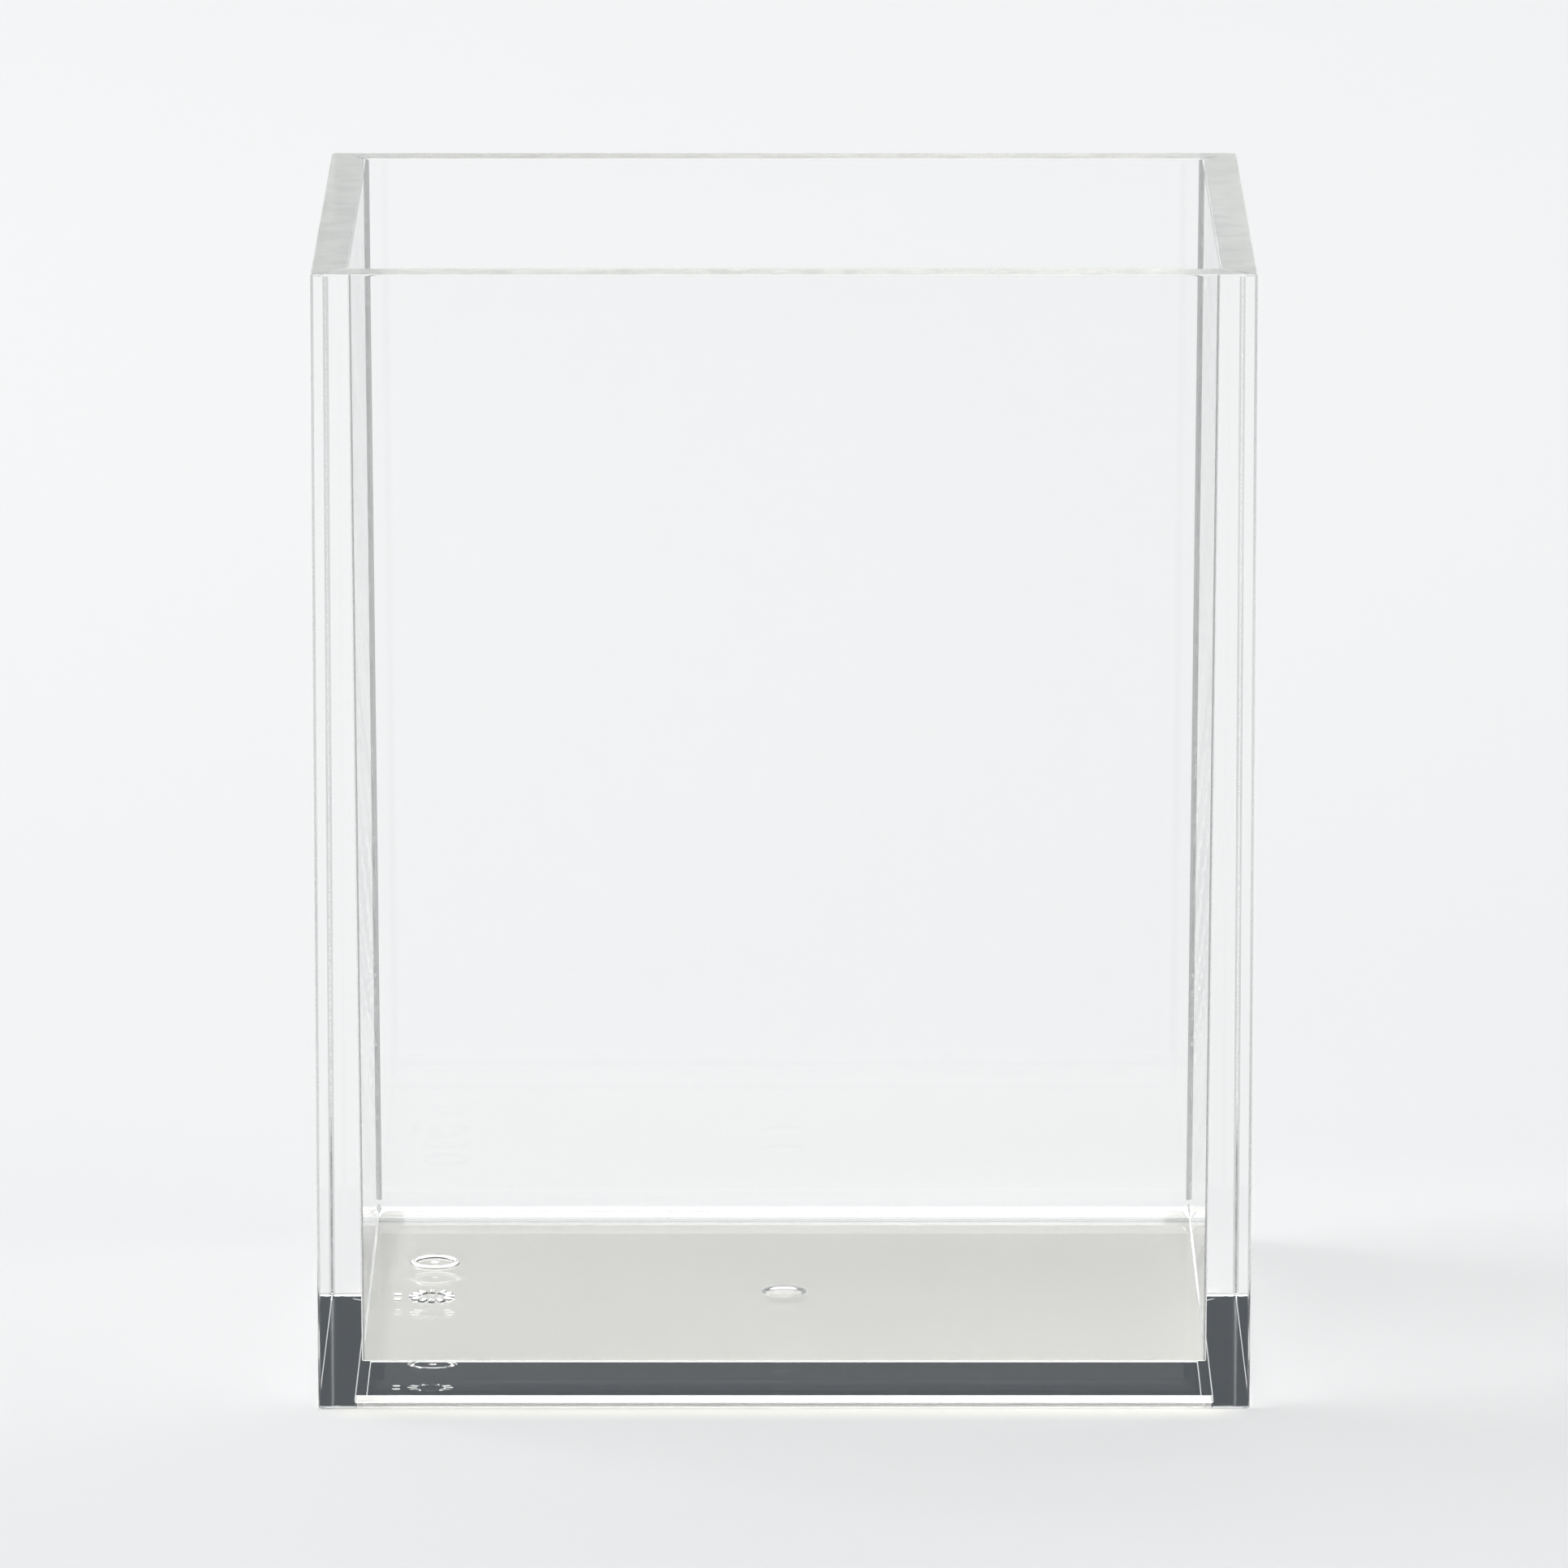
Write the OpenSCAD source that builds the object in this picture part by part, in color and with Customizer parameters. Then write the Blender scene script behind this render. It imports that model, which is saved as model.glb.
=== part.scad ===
// Clear rectangular pen cup, moulded in one piece.
// The origin is at the centre of the footprint, on the surface that the cup stands on.
// +X runs along the wide front, +Y points to the back, and +Z points up.

/* [Outside] */
// Width of the cup, across the front
cup_w = 80; // [60:1:120]
// Depth of the cup, from front to back
cup_d = 60; // [45:1:90]
// Height of the cup, from the table to the rim
cup_h = 99; // [70:1:140]
// Radius of the four upright outside corners
corner_r = 0.3; // [0.2:0.1:1.5]

/* [Walls] */
// Thickness of the two side walls at the rim
side_wall = 3.1; // [2.5:0.1:4]
// Thickness of the front and back walls at the rim
front_wall = 3; // [2.5:0.1:4]
// Thickness that each wall gains on its way down from the rim to the floor
draft_gain = 0.6; // [0.2:0.05:1]
// Radius of the blends inside, in the corners and around the floor
inside_r = 0.5; // [0.3:0.1:1]

/* [Floor] */
// Height of the inside floor above the table
floor_top = 3.65; // [3.2:0.05:5]
// Height of the recess under the floor, so that only a foot all round touches the table
recess_h = 0.6; // [0.4:0.1:1]
// Width of that foot along the two sides
side_foot = 3.1; // [2.5:0.1:5]
// Width of that foot along the front and the back
front_foot = 3.65; // [2.5:0.05:5]

/* [Moulded marks] */
// Diameter of the round pocket that the moulding gate leaves in the underside
gate_d = 4; // [3:0.5:6]
// Depth of that pocket, which is a shallow dome
gate_depth = 0.9; // [0.3:0.1:1.2]
// Outside diameter of the plain ring, and of the circle of ticks
plain_ring_d = 4.4; // [3.6:0.2:5]
// Width of the raised lines of the marks
line_w = 0.4; // [0.3:0.1:0.6]
// Height that the marks stand above the floor
line_h = 0.25; // [0.1:0.05:0.4]
// Number of ticks in the circle
ticks = 12; // [6:1:16]

/* [Hidden] */
// Overlap that lets solids join or cut cleanly
eps = 0.02;
// Facet counts of small rounds, and of the cavity's blend balls
small_fn = 48;
ball_fn = 24;
// Distance from the foot of the left wall to the middle of the marks
marks_inset = 5.5;
// Place of the circle of ticks, and distance from it back to the ring
marks_y = -4.7;
marks_pitch = 12;
// Half sizes of the cavity at its mouth, and at the floor
mouth_x = cup_w / 2 - side_wall;
mouth_y = cup_d / 2 - front_wall;
base_x = mouth_x - draft_gain;
base_y = mouth_y - draft_gain;
// Place of the marks across the floor
marks_x = marks_inset - base_x;
// Length of one tick, and distance of its middle from the middle of the circle
tick_len = plain_ring_d * 0.18;
tick_reach = plain_ring_d * 0.36;
// Radius of the small pips
pip_r = line_w;

// Flat rectangle with rounded corners, centred on the origin
module rounded_rect(w, d, r) {
    square([w - 2 * r, d], center = true);
    square([w, d - 2 * r], center = true);
    for (sx = [-1, 1], sy = [-1, 1])
        translate([sx * (w / 2 - r), sy * (d / 2 - r)])
            circle(r = r, $fn = small_fn);
}

// Space for the pens: it narrows towards the floor, and blends into it
module cavity() {
    hull() {
        for (sx = [-1, 1], sy = [-1, 1]) {
            translate([sx * (base_x - inside_r), sy * (base_y - inside_r), floor_top + inside_r])
                sphere(r = inside_r, $fn = ball_fn);
            translate([sx * (mouth_x - inside_r), sy * (mouth_y - inside_r), cup_h])
                cylinder(r = inside_r, h = eps, $fn = ball_fn);
        }
    }
}

// Shallow recess under the floor
module underside_recess() {
    translate([0, 0, -eps])
        linear_extrude(height = recess_h + eps)
            rounded_rect(cup_w - 2 * side_foot, cup_d - 2 * front_foot, corner_r);
}

// Shallow dome that the moulding gate leaves in the underside
module gate_pocket() {
    translate([0, 0, recess_h])
        scale([1, 1, 2 * gate_depth / gate_d])
            sphere(d = gate_d, $fn = small_fn);
}

// Raised round pip, at the middle of the marks
module pip(r) {
    translate([0, 0, floor_top - eps])
        cylinder(r = r, h = line_h + eps, $fn = small_fn);
}

// Raised plain ring around one pip
module ring_and_pip() {
    translate([0, 0, floor_top - eps])
        difference() {
            cylinder(d = plain_ring_d, h = line_h + eps, $fn = small_fn);
            translate([0, 0, -eps])
                cylinder(d = plain_ring_d - 2 * line_w, h = line_h + 3 * eps, $fn = small_fn);
        }
    pip(2 * pip_r);
}

// Circle of raised radial ticks
module tick_dial() {
    for (i = [0 : ticks - 1])
        rotate(i * 360 / ticks)
            translate([tick_reach - tick_len / 2, -line_w / 2, floor_top - eps])
                cube([tick_len, line_w, line_h + eps]);
}

// Plain marks that the mould leaves at the left of the floor
module floor_marks() {
    translate([marks_x, marks_y + marks_pitch, 0])
        ring_and_pip();
    translate([marks_x, marks_y, 0])
        tick_dial();
    for (side = [-1, 1])
        translate([marks_x - plain_ring_d * 0.68, marks_y + side * 2 * pip_r, 0])
            pip(pip_r);
}

module cup_body() {
    color([0.93, 0.95, 0.95, 0.35]) {
        difference() {
            linear_extrude(height = cup_h)
                rounded_rect(cup_w, cup_d, corner_r);
            cavity();
            underside_recess();
            gate_pocket();
        }
        floor_marks();
    }
}

cup_body();
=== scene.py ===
"""Clear moulded pen cup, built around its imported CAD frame.

Everything is in metres, in the CAD frame: +X along the wide front, +Y to the back, +Z up, and the
cup stands on z = 0.
"""
import math

import bmesh
import bpy
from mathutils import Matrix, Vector


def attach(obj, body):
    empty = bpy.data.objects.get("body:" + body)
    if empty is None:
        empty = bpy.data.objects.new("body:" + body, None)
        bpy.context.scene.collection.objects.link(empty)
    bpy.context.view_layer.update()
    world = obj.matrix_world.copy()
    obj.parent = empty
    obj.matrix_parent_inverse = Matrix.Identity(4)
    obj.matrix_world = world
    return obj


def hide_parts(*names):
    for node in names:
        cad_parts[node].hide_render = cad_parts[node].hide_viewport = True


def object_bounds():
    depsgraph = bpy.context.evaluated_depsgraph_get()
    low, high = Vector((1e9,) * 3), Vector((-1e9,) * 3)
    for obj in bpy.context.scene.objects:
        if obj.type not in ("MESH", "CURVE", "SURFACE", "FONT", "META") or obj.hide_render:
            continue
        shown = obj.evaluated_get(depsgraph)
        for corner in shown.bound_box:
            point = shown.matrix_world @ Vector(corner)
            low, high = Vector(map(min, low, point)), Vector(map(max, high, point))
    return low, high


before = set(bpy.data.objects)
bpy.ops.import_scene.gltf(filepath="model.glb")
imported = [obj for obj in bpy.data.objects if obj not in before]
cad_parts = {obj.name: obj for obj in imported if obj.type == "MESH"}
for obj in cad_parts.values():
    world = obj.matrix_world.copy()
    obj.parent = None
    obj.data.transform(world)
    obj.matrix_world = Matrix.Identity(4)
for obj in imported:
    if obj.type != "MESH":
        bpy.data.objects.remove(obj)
CAD_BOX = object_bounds()
MM = 0.001

# ---------------------------------------------------------------- sizes of the moulding
LOW, HIGH = CAD_BOX
HALF_W = (HIGH.x - LOW.x) / 2
HALF_D = (HIGH.y - LOW.y) / 2
RIM_Z = HIGH.z

SIDE_WALL = 3.1 * MM
FRONT_WALL = 3.0 * MM
DRAFT_GAIN = 0.6 * MM
FLOOR_TOP = 3.65 * MM
RECESS_H = 0.6 * MM
SIDE_FOOT = 3.1 * MM
FRONT_FOOT = 3.65 * MM

UPRIGHT_R = 0.25 * MM       # upright outside corners
RIM_R = 0.18 * MM           # outside edge of the rim
RIM_INNER_R = 0.2 * MM      # inside edge of the rim
INSIDE_R = 0.25 * MM        # upright inside corners
# Radii that differ between the sides, the front and the back
FOOT_RADII = (0.05 * MM, 0.3 * MM, 0.3 * MM)        # outside edge of the foot
RECESS_RADII = (0.1 * MM, 0.1 * MM, 0.4 * MM)       # blends of the recess under the floor
FLOOR_RADII = (0.12 * MM, 0.12 * MM, 0.9 * MM)      # blend around the floor
RADIUS_FADE = 3 * MM        # the sides change to the radius of the front or back over this length
CORNER_STEPS = 8
BLEND_STEPS = 6
LONG_STEPS = 24             # spans along the front and the back
SHORT_STEPS = 18            # spans along the sides

# ---------------------------------------------------------------- moulded marks on the floor
GATE_D = 4.0 * MM           # the gate's domed pocket in the underside
GATE_DEPTH = 0.9 * MM
RING_D = 4.4 * MM
MARKS_X = -30.8 * MM
MARKS_Y = -4.7 * MM
MARKS_PITCH = 12.0 * MM
TICKS = 12
TICK_REACH = 0.36           # where the ticks and pips lie, as shares of RING_D
TICK_HALF = 0.09
PIPS_REACH = 0.68
BEAD_R = 0.3 * MM           # radius of the raised lines, which are sunk in the floor
BEAD_H = 0.25 * MM          # height of the raised lines above the floor
BEAD_Z = FLOOR_TOP + BEAD_H - BEAD_R
PIP_R = 0.4 * MM            # radius of the small round pips
SHARP_ANGLE = math.radians(35)

# ---------------------------------------------------------------- plastic, stage, light and view
PLASTIC_IOR = 1.49
CORNER_ROUGHNESS = 0.25     # roughness of the upright inside corners
CORNER_PAINTED_SHADE = 0.25          # how light the painted shade leaves their faces: grey colour standing in for the dark lines that light makes there
EDGE_SHARE = 0.6            # how far the outside upright edges and the side rims' edges take on the dullness and the painted shade
RIM_SHARE = 0.45            # how far the rim's level top takes on the dullness and the painted grey shade
RIPPLE_HEIGHT = 0.00003 * MM            # of the faint ripples in the walls
STAGE_GAP = 0.03 * MM       # keeps the stage just clear of the foot
SWEEP_HEIGHT = 0.61
CARD = (0.8, 0.8, 0.8, 1)
CARD_PAINTED_LIGHT = (0.98, 0.973, 0.92, 1)     # painted light: whiter, warmer card under the cup, in place of the bright pool of light there
PAINTED_LIGHT_FADE = 4 * MM
OVERHEAD_SIZE = (2.6, 3.2)
OVERHEAD_POWER = 48.0
OVERHEAD_Y = 0.8            # the soft box reaches further back than forward
OVERHEAD_Z = 1.7
KEY_POWER = 7.0
WORLD = (0.066, 0.075, 0.083, 1)
VIEW_ELEVATION = math.radians(12.4)
VIEW_DISTANCE = 1.2406
VIEW_LENS = 326.6
VIEW_TARGET_Z = 0.0484
SENSOR = 36.0
BOUNCES = 160               # light zigzags down inside a wall some thirty times


# ================================================================ mesh of the cup
def rounded_loop(half_x, half_y, radius, z):
    """Points around a rectangle with round corners, counter-clockwise from above."""
    corners = []
    for quarter in range(4):
        sx = 1 if quarter in (0, 3) else -1
        sy = 1 if quarter in (0, 1) else -1
        cx, cy = sx * (half_x - radius), sy * (half_y - radius)
        corners.append([])
        for step in range(CORNER_STEPS + 1):
            angle = math.pi / 2 * (quarter + step / CORNER_STEPS)
            corners[-1].append(Vector((cx + radius * math.cos(angle), cy + radius * math.sin(angle), z)))
    points = []
    for quarter, corner in enumerate(corners):
        spans = LONG_STEPS if quarter in (0, 2) else SHORT_STEPS
        start, end = corner[-1], corners[(quarter + 1) % 4][0]
        points += corner
        points += [start.lerp(end, i / spans) for i in range(1, spans)]
    return points


def inset_loop(half_x, half_y, radius, inset, z):
    """The same rectangle drawn in by inset, its corners tightening as it shrinks."""
    tight = max(radius - inset, 0.02 * MM)
    return rounded_loop(half_x - inset, half_y - inset, tight, z)


def quarter_turn(steps):
    """Sines and cosines from 0 to 90 degrees."""
    return [(math.sin(math.pi / 2 * i / steps), math.cos(math.pi / 2 * i / steps)) for i in range(steps + 1)]


def radius_at(point, half_y, radii):
    """Radius of an edge at one of its points, from the radii of the sides, the front and the back."""
    side, front, back = radii
    share = min(max((abs(point.y) - half_y) / RADIUS_FADE + 1, 0.0), 1.0)
    return side + ((back if point.y > 0 else front) - side) * share


def edge_loop(half_x, half_y, corner, z, radii, inward, rise):
    """A rectangle's loop, moved inward and up by these shares of the edge's radius at each point."""
    loop = []
    for point in rounded_loop(half_x, half_y, corner, z):
        radius = radius_at(point, half_y, radii)
        x = point.x * (half_x - radius * inward) / half_x
        y = point.y * (half_y - radius * inward) / half_y
        loop.append(Vector((x, y, z + radius * rise)))
    return loop


def foot_loops():
    """The recess under the floor, the foot around it and the foot's outside edge."""
    recess = (HALF_W - SIDE_FOOT, HALF_D - FRONT_FOOT, UPRIGHT_R)
    outside = (HALF_W, HALF_D, UPRIGHT_R)
    loops = []
    for s, c in quarter_turn(BLEND_STEPS):
        loops.append(edge_loop(*recess, RECESS_H, RECESS_RADII, 1 - s, c - 1))
    for s, c in quarter_turn(BLEND_STEPS):
        loops.append(edge_loop(*recess, 0.0, RECESS_RADII, c - 1, 1 - s))
    for s, c in quarter_turn(BLEND_STEPS):
        loops.append(edge_loop(*outside, 0.0, FOOT_RADII, 1 - s, 1 - c))
    return loops


def rim_loops():
    """The rim's outside edge, its level top and its inside edge."""
    loops = []
    for s, c in quarter_turn(BLEND_STEPS):
        loops.append(inset_loop(HALF_W, HALF_D, UPRIGHT_R, RIM_R * (1 - c), RIM_Z - RIM_R * (1 - s)))
    for s, c in quarter_turn(BLEND_STEPS):
        out = RIM_INNER_R * (1 - s)
        half_x, half_y = HALF_W - SIDE_WALL + out, HALF_D - FRONT_WALL + out
        loops.append(rounded_loop(half_x, half_y, INSIDE_R + out, RIM_Z - RIM_INNER_R * (1 - c)))
    return loops


def inside_loops():
    """The draughted inside walls, their blend into the floor and the floor."""
    mouth_x, mouth_y = HALF_W - SIDE_WALL, HALF_D - FRONT_WALL
    loops = []
    for share in (0.25, 0.5, 0.75):
        z = RIM_Z + (FLOOR_TOP + max(FLOOR_RADII) - RIM_Z) * share
        loops.append(rounded_loop(mouth_x - DRAFT_GAIN * share, mouth_y - DRAFT_GAIN * share, INSIDE_R, z))
    base = (mouth_x - DRAFT_GAIN, mouth_y - DRAFT_GAIN, INSIDE_R)
    for s, c in quarter_turn(BLEND_STEPS):
        loops.append(edge_loop(*base, FLOOR_TOP, FLOOR_RADII, 1 - c, 1 - s))
    return loops


def mesh_object(name, bm):
    bmesh.ops.recalc_face_normals(bm, faces=bm.faces)
    mesh = bpy.data.meshes.new(name)
    bm.to_mesh(mesh)
    bm.free()
    obj = bpy.data.objects.new(name, mesh)
    bpy.context.scene.collection.objects.link(obj)
    return obj


def skin(bm, loops, closed_path=False):
    """Joins neighbouring loops of vertices with quads."""
    count = len(loops[0])
    pairs = list(zip(loops, loops[1:]))
    if closed_path:
        pairs.append((loops[-1], loops[0]))
    for low, high in pairs:
        for i in range(count):
            j = (i + 1) % count
            bm.faces.new((low[i], low[j], high[j], high[i]))


def capped_skin(bm, loops):
    """A closed solid from a stack of loops of points."""
    rings = [[bm.verts.new(p) for p in loop] for loop in loops]
    skin(bm, rings)
    bm.faces.new(list(reversed(rings[0])))
    bm.faces.new(rings[-1])


def cup_shell():
    bm = bmesh.new()
    capped_skin(bm, foot_loops() + rim_loops() + inside_loops())
    bmesh.ops.remove_doubles(bm, verts=bm.verts, dist=0.5e-6)
    return mesh_object("cup_moulding", bm)


# ================================================================ moulded marks
def circle(x, y, z, radius, steps=72):
    turns = [2 * math.pi * i / steps for i in range(steps)]
    return [Vector((x + radius * math.cos(t), y + radius * math.sin(t), z)) for t in turns]


def gate_tool():
    """The round domed pocket that the moulding gate leaves in the underside, as a solid to cut away."""
    bm = bmesh.new()
    made = bmesh.ops.create_uvsphere(bm, u_segments=64, v_segments=48, radius=1.0)
    for vert in made["verts"]:
        vert.co = Vector((vert.co.x * GATE_D / 2, vert.co.y * GATE_D / 2, RECESS_H + vert.co.z * GATE_DEPTH))
    return mesh_object("gate_tool", bm)


def bead(bm, path, closed):
    """Round raised line along a level path, sunk into the floor so that BEAD_H of it shows."""
    sides = 16
    count = len(path)
    rings = []
    for i, point in enumerate(path):
        before = path[i - 1] if closed or i > 0 else point
        after = path[(i + 1) % count] if closed or i < count - 1 else point
        along = (after - before).normalized()
        across = Vector((along.y, -along.x, 0))
        ring = []
        for k in range(sides):
            angle = 2 * math.pi * k / sides
            offset = across * (BEAD_R * math.cos(angle)) + Vector((0, 0, BEAD_R * math.sin(angle)))
            ring.append(bm.verts.new(point + offset))
        rings.append(ring)
    skin(bm, rings, closed_path=closed)
    if not closed:
        bm.faces.new(rings[0])
        bm.faces.new(list(reversed(rings[-1])))


def pip(bm, x, y, radius):
    """Small round raised pip, half of its radius above the floor."""
    made = bmesh.ops.create_icosphere(bm, subdivisions=3, radius=radius)
    for vert in made["verts"]:
        vert.co = Vector((vert.co.x + x, vert.co.y + y, vert.co.z * 0.5 + FLOOR_TOP))


def ring_and_pip(bm, x, y):
    """Plain ring around one pip."""
    bead(bm, circle(x, y, BEAD_Z, RING_D / 2 - BEAD_R), True)
    pip(bm, x, y, PIP_R)


def tick_dial(bm, x, y):
    """Plain circle of short radial ticks."""
    for i in range(TICKS):
        turn = 2 * math.pi * i / TICKS
        out = Vector((math.cos(turn), math.sin(turn), 0))
        middle = Vector((x, y, BEAD_Z)) + out * (RING_D * TICK_REACH)
        half = out * (RING_D * TICK_HALF)
        bead(bm, [middle - half, middle, middle + half], False)


def floor_marks():
    """Plain raised marks at the left of the floor: a ring, a circle of ticks and two pips."""
    bm = bmesh.new()
    ring_and_pip(bm, MARKS_X, MARKS_Y + MARKS_PITCH)
    tick_dial(bm, MARKS_X, MARKS_Y)
    for side in (-1, 1):
        pip(bm, MARKS_X - RING_D * PIPS_REACH, MARKS_Y + side * PIP_R * 2, PIP_R)
    return mesh_object("floor_marks", bm)


def bake_modifiers(obj):
    """Applies the object's modifiers to its mesh."""
    graph = bpy.context.evaluated_depsgraph_get()
    baked = bpy.data.meshes.new_from_object(obj.evaluated_get(graph))
    obj.modifiers.clear()
    obj.data = baked


def combine(obj, tool, operation):
    cut = obj.modifiers.new(operation.lower(), "BOOLEAN")
    cut.operation = operation
    cut.solver = "EXACT"
    cut.object = tool
    bake_modifiers(obj)
    bpy.data.objects.remove(tool)


def mark_corners(mesh):
    """Stores on each face how dull it is and how much painted shade greys it: upright corners most, then
    edges, then the rim's top.
    """
    corner = mesh.attributes.new("corner", "FLOAT", "FACE")
    for polygon in mesh.polygons:
        x, y, z = polygon.center
        share = (RIM_Z - z) / (RIM_Z - FLOOR_TOP)
        reach_x = HALF_W - SIDE_WALL - DRAFT_GAIN * share
        reach_y = HALF_D - FRONT_WALL - DRAFT_GAIN * share
        in_x = reach_x - INSIDE_R < abs(x) < reach_x + 0.01 * MM
        in_y = reach_y - INSIDE_R < abs(y) < reach_y + 0.01 * MM
        upright = abs(x) > HALF_W - UPRIGHT_R and abs(y) > HALF_D - UPRIGHT_R
        side_edge = z > RIM_Z - RIM_R and abs(x) > HALF_W - RIM_R
        mouth_x, mouth_y = HALF_W - SIDE_WALL, HALF_D - FRONT_WALL
        in_mouth = abs(x) < mouth_x + RIM_INNER_R and abs(y) < mouth_y + RIM_INNER_R
        side_mouth = z > RIM_Z - RIM_INNER_R and in_mouth and abs(x) > mouth_x - 0.01 * MM
        if in_x and in_y and z > FLOOR_TOP + max(FLOOR_RADII):
            corner.data[polygon.index].value = 1.0
        elif upright or side_edge or side_mouth:
            corner.data[polygon.index].value = EDGE_SHARE
        elif z > RIM_Z - 0.01 * MM:
            corner.data[polygon.index].value = RIM_SHARE


def build_cup():
    cup = cup_shell()
    combine(cup, gate_tool(), "DIFFERENCE")
    combine(cup, floor_marks(), "UNION")
    for polygon in cup.data.polygons:
        polygon.use_smooth = True
    cup.data.set_sharp_from_angle(angle=SHARP_ANGLE)
    weighted = cup.modifiers.new("flat_faces", "WEIGHTED_NORMAL")
    weighted.weight = 100
    weighted.keep_sharp = True
    bake_modifiers(cup)
    mark_corners(cup.data)
    return cup


# ================================================================ materials
class Graph:
    """Short way to add and join the nodes of a material."""

    def __init__(self, name):
        self.material = bpy.data.materials.new(name)
        self.material.use_nodes = True
        self.nodes = self.material.node_tree.nodes
        self.links = self.material.node_tree.links
        self.shader = self.nodes["Principled BSDF"]

    def add(self, kind, settings=None, inputs=None):
        node = self.nodes.new(kind)
        for key, value in (settings or {}).items():
            setattr(node, key, value)
        for key, value in (inputs or {}).items():
            if isinstance(value, bpy.types.NodeSocket):
                self.links.new(value, node.inputs[key])
            else:
                node.inputs[key].default_value = value
        return node

    def math(self, operation, a, b=0.0):
        return self.add("ShaderNodeMath", {"operation": operation}, {0: a, 1: b}).outputs[0]

    def noise(self, place, scale, detail=2.0):
        inputs = {"Vector": place, "Scale": scale, "Detail": detail}
        return self.add("ShaderNodeTexNoise", None, inputs).outputs[0]

    def ramp(self, value, low, high, to_low, to_high):
        inputs = {"Value": value, "From Min": low, "From Max": high, "To Min": to_low, "To Max": to_high}
        return self.add("ShaderNodeMapRange", {"interpolation_type": "SMOOTHSTEP"}, inputs).outputs[0]


def clear_plastic():
    """Clear acrylic moulding: polished walls with faint ripples, duller scuffed edges, and painted grey
    shade on the corners, edges and rim top.
    """
    g = Graph("clear_plastic")
    place = g.add("ShaderNodeTexCoord").outputs["Object"]
    corner = g.add("ShaderNodeAttribute", {"attribute_name": "corner"}).outputs["Fac"]
    stretch = {0: place, 1: (1.0, 1.0, 0.05)}
    drawn = g.add("ShaderNodeVectorMath", {"operation": "MULTIPLY"}, stretch).outputs[0]
    scuffs = g.ramp(g.noise(drawn, 500.0, 2.0), 0.35, 0.7, 0.85, 1.1)
    # the mask mixes real dullness with painted shade: it drives the roughness and also greys the colour
    wear_and_painted_shade = g.math("MULTIPLY", corner, scuffs)
    # painted shade: the base colour turns grey at the corners, edges and rim top, in place of the dark lines
    # that light makes there
    g.links.new(g.ramp(wear_and_painted_shade, 0.0, 1.0, 1.0, CORNER_PAINTED_SHADE), g.shader.inputs["Base Color"])
    g.links.new(g.math("MULTIPLY", wear_and_painted_shade, CORNER_ROUGHNESS), g.shader.inputs["Roughness"])
    waves = g.noise(place, 45.0, 0.0)
    ripple = g.add("ShaderNodeBump", None, {"Strength": 1.0, "Distance": RIPPLE_HEIGHT, "Height": waves})
    g.links.new(ripple.outputs[0], g.shader.inputs["Normal"])
    g.shader.inputs["Transmission Weight"].default_value = 1.0
    g.shader.inputs["IOR"].default_value = PLASTIC_IOR
    tint = g.add("ShaderNodeVolumeAbsorption", None, {"Color": (0.8, 0.9, 0.82, 1), "Density": 0.5})
    g.links.new(tint.outputs[0], g.nodes["Material Output"].inputs["Volume"])
    return g.material


def pale_card():
    """Pale matt card with a faint tooth, and a painted pool of light: whiter and warmer where the cup
    stands.
    """
    g = Graph("pale_card")
    place = g.add("ShaderNodeTexCoord").outputs["Object"]
    parts = g.add("ShaderNodeSeparateXYZ", None, {0: place}).outputs
    # painted light: the card turns whiter and warmer under the cup's footprint, fading out just past it
    near_x = g.ramp(g.math("ABSOLUTE", parts[0]), HALF_W - PAINTED_LIGHT_FADE, HALF_W, 1.0, 0.0)
    near_y = g.ramp(g.math("ABSOLUTE", parts[1]), HALF_D, HALF_D + PAINTED_LIGHT_FADE, 1.0, 0.0)
    painted_light_pool = g.math("MULTIPLY", near_x, near_y)
    mix = g.add("ShaderNodeMix", {"data_type": "RGBA"}, {0: painted_light_pool, 6: CARD, 7: CARD_PAINTED_LIGHT})
    g.links.new(mix.outputs[2], g.shader.inputs["Base Color"])
    grain = g.noise(place, 900.0, 1.0)
    tooth = g.add("ShaderNodeBump", None, {"Strength": 0.1, "Distance": 0.02 * MM, "Height": grain})
    g.links.new(tooth.outputs[0], g.shader.inputs["Normal"])
    g.shader.inputs["Roughness"].default_value = 0.9
    return g.material


# ================================================================ stage, light and camera
def build_stage():
    """A round pale floor that sweeps up into a low rim, so that it fills the view from every side."""
    bm = bmesh.new()
    flat, rim = 1.9, 2.5
    profile = [(0.05, 0), (0.3, 0), (1.0, 0), (flat, 0)]
    for s, c in quarter_turn(12)[1:]:
        profile.append((flat + (rim - flat) * s, SWEEP_HEIGHT * (1 - c)))
    rings = [[bm.verts.new(p) for p in circle(0, 0, z, radius, 96)] for radius, z in profile]
    skin(bm, rings)
    bm.faces.new(rings[0])
    floor = mesh_object("stage_floor", bm)
    floor.location.z = -STAGE_GAP
    for polygon in floor.data.polygons:
        polygon.use_smooth = True
    floor.data.materials.append(pale_card())


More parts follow.
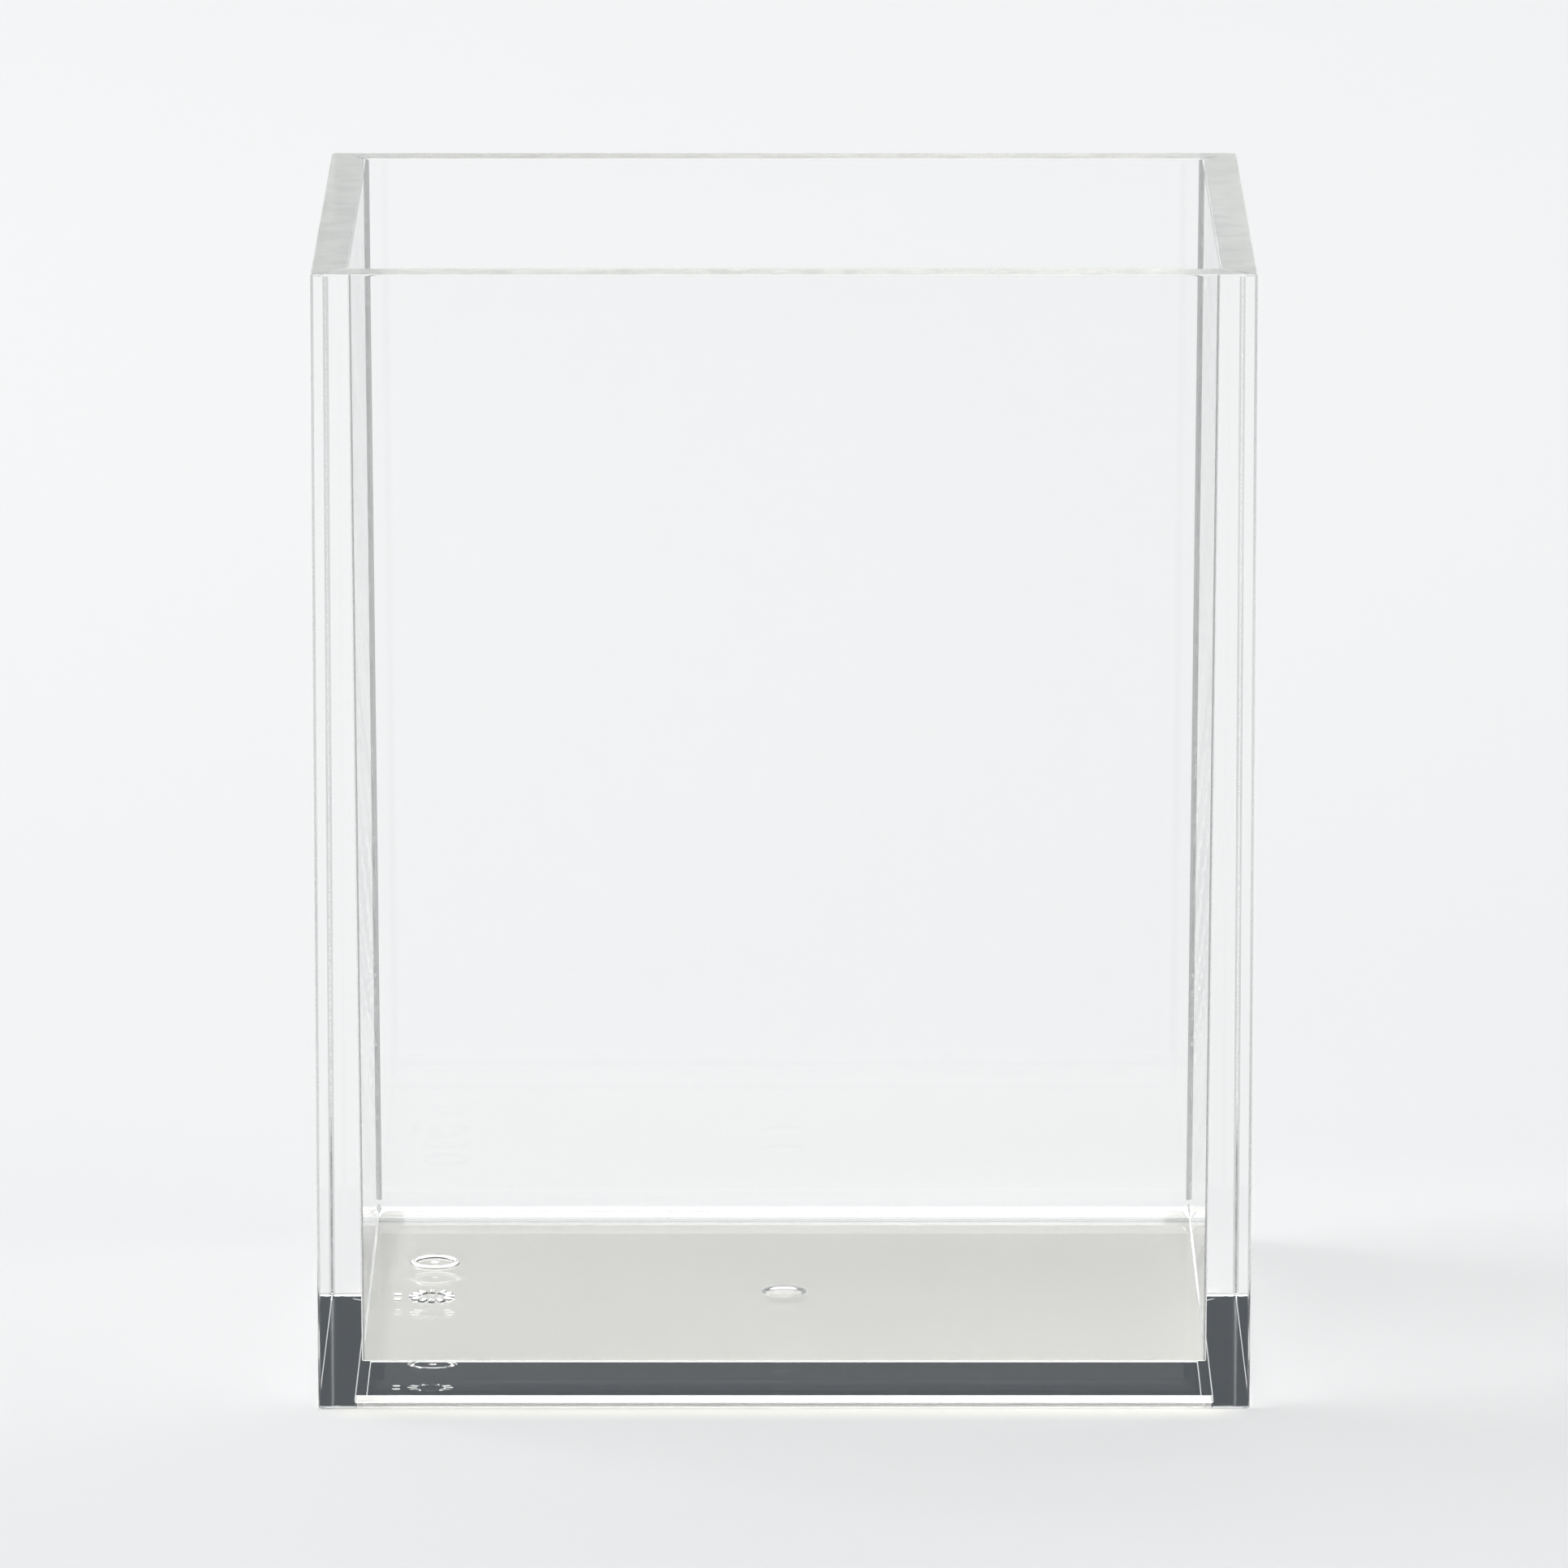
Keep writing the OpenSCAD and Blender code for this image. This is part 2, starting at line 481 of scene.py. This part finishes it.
def area_light(name, size, power, location, target):
    light = bpy.data.lights.new(name, "AREA")
    light.shape = "RECTANGLE"
    light.size, light.size_y = size
    light.energy = power
    obj = bpy.data.objects.new(name, light)
    obj.location = location
    aim = Vector(target) - Vector(location)
    obj.rotation_mode = "QUATERNION"
    obj.rotation_quaternion = aim.to_track_quat("-Z", "Y")
    bpy.context.scene.collection.objects.link(obj)


def build_light():
    """One broad soft box overhead, a smaller one at the upper left, and a dim room around them."""
    world = bpy.data.worlds.new("dim_room")
    world.use_nodes = True
    world.node_tree.nodes["Background"].inputs["Color"].default_value = WORLD
    bpy.context.scene.world = world
    area_light("overhead", OVERHEAD_SIZE, OVERHEAD_POWER, (0, OVERHEAD_Y, OVERHEAD_Z), (0, OVERHEAD_Y, 0))
    area_light("key", (0.7, 0.7), KEY_POWER, (-0.9, 0.2, 1.3), (0, 0, 0.05))


def build_camera():
    camera = bpy.data.cameras.new("camera")
    camera.sensor_width = SENSOR
    camera.lens = VIEW_LENS
    camera.clip_start, camera.clip_end = 0.01, 10
    obj = bpy.data.objects.new("camera", camera)
    bpy.context.scene.collection.objects.link(obj)
    back = Vector((0, -math.cos(VIEW_ELEVATION), math.sin(VIEW_ELEVATION)))
    obj.location = Vector((0, 0, VIEW_TARGET_Z)) + back * VIEW_DISTANCE
    obj.rotation_mode = "QUATERNION"
    obj.rotation_quaternion = (-back).to_track_quat("-Z", "Y")
    bpy.context.scene.camera = obj


def set_look():
    scene = bpy.context.scene
    scene.view_settings.view_transform = "Standard"
    scene.cycles.max_bounces = BOUNCES
    scene.cycles.transmission_bounces = BOUNCES
    scene.cycles.glossy_bounces = BOUNCES
    scene.cycles.diffuse_bounces = 6
    scene.cycles.transparent_max_bounces = 16
    scene.cycles.use_denoising = True
    scene.cycles.blur_glossy = 0.0
    scene.cycles.sample_clamp_indirect = 0.0


set_look()
build_camera()
build_stage()
build_light()
cup = build_cup()
cup.data.materials.append(clear_plastic())
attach(cup, "root")
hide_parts("cup_body")
